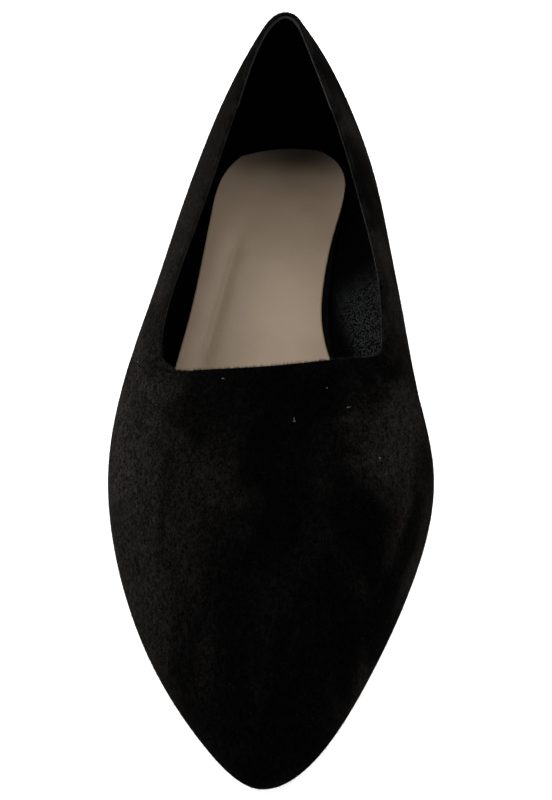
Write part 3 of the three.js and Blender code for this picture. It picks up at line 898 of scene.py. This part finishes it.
# Suede: from its lip under the insole up the outside, over the top and down behind the lining.
angles = np.linspace(0, np.pi, FOLD_ROWS + 2)[1:-1, None, None]
fold_reach = FOLD_DEPTH / 2
fold_rows = (
    top
    - top_normal * fold_reach * (1 - np.cos(angles))
    + top_way * FOLD_RISE * np.sin(angles)
)
lip = np.stack([traced(sole_edge, -SUEDE_LIP * share, edge_height) for share in (1.0, 0.5)])
turned_in = down_columns(layer(FOLD_DEPTH), 0.0, FINE_ROWS)[:TURNED_IN_ROWS]
turned_in_back = down_columns(layer(FOLD_DEPTH - SUEDE_LAYER), FOLD_INSIDE, FINE_ROWS)
turned_in_back = turned_in_back[TURNED_IN_ROWS - 2 :: -3]
outside_back = down_columns(layer(SUEDE_LAYER), FOLD_INSIDE, BACK_ROWS)
lip_top = lip[::-1] + np.array([0, 0, SUEDE_LAYER])
closed_shell(
    "upper_suede",
    [lip, creased(outer, normals), fold_rows, turned_in, turned_in_back, outside_back, lip_top],
    suede,
    ("upper",),
)

# Raised hairs of the nap, over the outside and thicker along the folded edge.
fold_out = unit(fold_rows - top + top_normal * fold_reach)
nap_roots = scatter(outer[2:], normals[2:], NAP_HAIRS, NAP_SEED)
edge_roots = scatter(fold_rows, fold_out, EDGE_HAIRS, EDGE_SEED)
hairs("nap_hairs", *nap_roots, NAP_LAY, NAP_LENGTH, NAP_WIDTH, "suede", nap_hair)
hairs("edge_hairs", *edge_roots, EDGE_LAY, EDGE_LENGTH, EDGE_WIDTH, "suede", nap_hair)
lint_places = np.array([last_point(at, side, gauge) for side, at, gauge in LINT])
lint_places = np.repeat(lint_places, LINT_HAIRS, axis=0)
lint_ways = np.tile(unit(np.array(LINT_WAY)), (len(lint_places), 1))
hairs("lint", lint_places, lint_ways, NAP_LAY, LINT_LENGTH, LINT_WIDTH, None, lint_finish)

# Lining: its cut edge stands inside the fold, and it runs down to the insole.
foot_rise = SUEDE_LAYER + LINING_CLEARANCE
lining_face = down_columns(layer(UPPER_WALL, foot_rise), LINING_DROP, LINING_ROWS)
lining_back = down_columns(layer(FOLD_DEPTH + LAYER_GAP, foot_rise), LINING_DROP, LINING_ROWS)
closed_shell("lining", [lining_face[::-1], lining_back], lining_leather)
rim_from, rim_to = FOLD_DEPTH - RIM_OVERHANG, UPPER_WALL + RIM_OVERHANG
rim("lining_rim", rim_from, rim_to, LINING_DROP, lining_edge, np.arange(AROUND))

# Heel grip: a second layer round the back.
sweep_step = math.pi / HALF
grip_reach = int(sweep_of(GRIP_AT) / sweep_step)
grip_columns = np.arange(-grip_reach, grip_reach + 1) % AROUND
grip_depth = UPPER_WALL + GRIP_LAYER
grip_face = down_columns(layer(grip_depth, foot_rise), GRIP_DROP, GRIP_ROWS)
grip_back = down_columns(layer(UPPER_WALL + LAYER_GAP, foot_rise), GRIP_DROP, GRIP_ROWS)
sheet_solid("heel_grip", grip_face[:, grip_columns], grip_back[:, grip_columns], lining_leather)
rim("grip_rim", UPPER_WALL, grip_depth + RIM_OVERHANG, GRIP_DROP, grip_edge, grip_columns)

# Insole and sock: the outline is where the inner face of the upper meets the insole's underside.
inner_face = outer - normals * (UPPER_WALL + SEAM_GAP)
inner_rise = inner_face[..., 2] - edge_height(inner_face[..., 1]) - UPPER_WALL - SEAM_GAP
insole_edge = np.empty((AROUND, 3))
for i in range(AROUND):
    for axis in range(3):
        insole_edge[i, axis] = np.interp(0.0, inner_rise[:WALL_ROWS, i], inner_face[:WALL_ROWS, i, axis])


def insole_bottom(y):
    return edge_height(y) + UPPER_WALL + SEAM_GAP


def insole_top(y):
    return insole_bottom(y) + INSOLE_THICKNESS


def sock_bottom(y):
    return insole_top(y) + SEAM_GAP


plate(
    "insole_board",
    insole_edge,
    lambda x, y, inside: insole_top(y),
    insole_bottom,
    top_round=0.5,
    bottom_round=0.3,
    across=BOARD_ACROSS,
    finish=board,
    replaced=("insole",),
)


def sock_top(x, y, inside):
    """The sock's face: cupped at the heel, with the soft trough along its outer side."""
    cup = HEEL_CUP * np.clip(1 - inside / HEEL_CUP_REACH, 0, 1) ** 2
    cup = cup * smootherstep(y, HEEL_CUP_FROM, HEEL_CUP_FULL)
    along = np.clip((TROUGH_BACK[1] - y) / (TROUGH_BACK[1] - TROUGH_FRONT[1]), 0, 1)
    middle = lerp(TROUGH_BACK[0], TROUGH_FRONT[0], along)
    front_low, front_high = (TROUGH_FRONT[1] + reach for reach in TROUGH_FRONT_FADE)
    back_low, back_high = (TROUGH_BACK[1] + reach for reach in TROUGH_BACK_FADE)
    fade = smootherstep(y, front_low, front_high) * (1 - smootherstep(y, back_low, back_high))
    trough = TROUGH_DEPTH * np.exp(-(((x - middle) / TROUGH_WIDTH) ** 2)) * fade
    return sock_bottom(y) + SOCK_THICKNESS + cup - trough


sock_at = 0.5 - insole_edge[:, 1] / LENGTH
sock_cut = np.where(np.arange(AROUND) > HALF, BALL_WIDTH * np.maximum(sock_cut_share(sock_at), 0), 0)
sock_edge = traced(insole_edge, -SOCK_INSET - sock_cut, sock_bottom)
sock_bow = SOCK_BOW * ((sock_edge[:, 0] - SOCK_BOW_MIDDLE) / SOCK_BOW_REACH) ** 2
sock_edge[:, 1] = np.minimum(sock_edge[:, 1], LENGTH / 2 - SOCK_TO_BACK - sock_bow)
plate(
    "sock_lining",
    sock_edge,
    sock_top,
    sock_bottom,
    top_round=0.6,
    bottom_round=0.2,
    across=SOCK_ACROSS,
    finish=sock_leather,
    replaced=("sock",),
)

# Outsole and heel.
sole_outline = traced(sole_edge, OUTSOLE_LIP, sole_top)
plate(
    "outsole_rubber",
    sole_outline,
    lambda x, y, inside: sole_top(y),
    sole_bottom,
    top_round=0.5,
    bottom_round=1.0,
    across=SOLE_ACROSS,
    finish=sole_rubber,
    replaced=("outsole",),
)

breast_y = LENGTH / 2 - HEEL_LENGTH
heel_top = sole_bottom(LENGTH / 2) - SEAM_GAP

# Rows of the heel from the floor up, each with its inset and its height.
heel_profile = [
    (HEEL_TAPER + 0.5, 0.0),
    (HEEL_TAPER + 0.15, 0.15),
    (HEEL_TAPER, 0.5),
    (HEEL_TAPER * 0.65, LIFT_HEIGHT - 0.12),
    (HEEL_TAPER * 0.6 + LIFT_GROOVE, LIFT_HEIGHT - 0.05),
    (HEEL_TAPER * 0.6 + LIFT_GROOVE, LIFT_HEIGHT + 0.05),
    (HEEL_TAPER * 0.6, LIFT_HEIGHT + 0.12),
    (0.1, heel_top - 0.3),
    (0.3, heel_top),
]


def heel_ring(inset, height):
    """The sole's outline behind the breast, closed by the bowed breast."""
    ring = traced(sole_outline, -OUTSOLE_BEVEL - inset, sole_top)
    steps = int(np.argmax(ring[:HALF, 1] < breast_y))
    outer_corner = ring[steps - 1] + (ring[steps] - ring[steps - 1]) * (
        (ring[steps - 1, 1] - breast_y) / (ring[steps - 1, 1] - ring[steps, 1])
    )
    before, after = ring[AROUND - steps + 1], ring[AROUND - steps]
    inner_corner = before + (after - before) * ((before[1] - breast_y) / (before[1] - after[1]))
    t = np.linspace(0, 1, BREAST_STEPS + 1)[:, None]
    breast = lerp(outer_corner, inner_corner, t)
    breast[:, 1] = breast_y + inset * BREAST_TAPER + BREAST_BOW * np.sin(np.pi * t[:, 0])
    closed = np.concatenate([ring[:steps], breast, ring[AROUND - steps + 1 :]])
    closed[:, 2] = height
    return closed


heel_rows = [heel_ring(inset, height) for inset, height in heel_profile]
heel_count = len(heel_rows[0])
heel_faces = ring_faces(len(heel_rows), heel_count, False)
heel_faces.append(tuple(range(heel_count))[::-1])
heel_faces.append(tuple((len(heel_rows) - 1) * heel_count + i for i in range(heel_count)))
heel_points = np.concatenate(heel_rows)
mesh_piece("heel_block", heel_points, heel_faces, heel_rubber, ("heel",))

# Floor, light and camera.
floor_mesh = bpy.data.meshes.new("floor")
corners = [(x * FLOOR_REACH, y * FLOOR_REACH, FLOOR_LEVEL) for x, y in ((-1, -1), (1, -1), (1, 1), (-1, 1))]
floor_mesh.from_pydata(corners, [], [(0, 1, 2, 3)])
floor_finish = Finish(
    "pale_floor",
    {
        "Base Color": shade(0.86, 0.86, 0.86),
        "Roughness": 0.9,
        "Emission Color": shade(1.0, 1.0, 1.0),
        "Emission Strength": FLOOR_GLOW,
    },
)
floor_mesh.materials.append(floor_finish.material)
floor = bpy.data.objects.new("floor", floor_mesh)
bpy.context.scene.collection.objects.link(floor)

world = bpy.data.worlds.new("studio")
world.use_nodes = True
world.node_tree.nodes["Background"].inputs["Color"].default_value = shade(1.0, 1.0, 1.0)
world.node_tree.nodes["Background"].inputs["Strength"].default_value = WORLD_LIGHT
bpy.context.scene.world = world
bpy.context.scene.view_settings.view_transform = "Standard"


def softbox(name, place, target, size, power):
    light = bpy.data.lights.new(name, "AREA")
    light.shape = "RECTANGLE"
    light.size, light.size_y = size
    light.energy = power
    lamp = bpy.data.objects.new(name, light)
    lamp.location = place
    lamp.rotation_euler = (Vector(target) - Vector(place)).to_track_quat("-Z", "Y").to_euler()
    bpy.context.scene.collection.objects.link(lamp)


for name, place, size, power in SOFTBOXES:
    softbox(name, place, LIGHT_TARGET, size, power)

camera = bpy.data.cameras.new("photo_view")
camera.sensor_fit = "VERTICAL"
camera.sensor_height = 36.0
camera.lens = CAMERA_FOCAL_PIXELS / PHOTO_HEIGHT * camera.sensor_height
camera.clip_start = 0.01
yaw, dip, roll = (math.radians(angle) for angle in CAMERA_ANGLES)
ahead = Vector((math.sin(yaw) * math.cos(dip), math.cos(yaw) * math.cos(dip), -math.sin(dip)))
level = Vector((math.cos(yaw), -math.sin(yaw), 0.0))
above = level.cross(ahead)
right = math.cos(roll) * level + math.sin(roll) * above
raised = math.cos(roll) * above - math.sin(roll) * level
turn = Matrix((right, raised, -ahead)).transposed().to_4x4()
viewer = bpy.data.objects.new("photo_view", camera)
viewer.matrix_world = Matrix.Translation(Vector(CAMERA_PLACE) * MM) @ turn
bpy.context.scene.collection.objects.link(viewer)
bpy.context.scene.camera = viewer
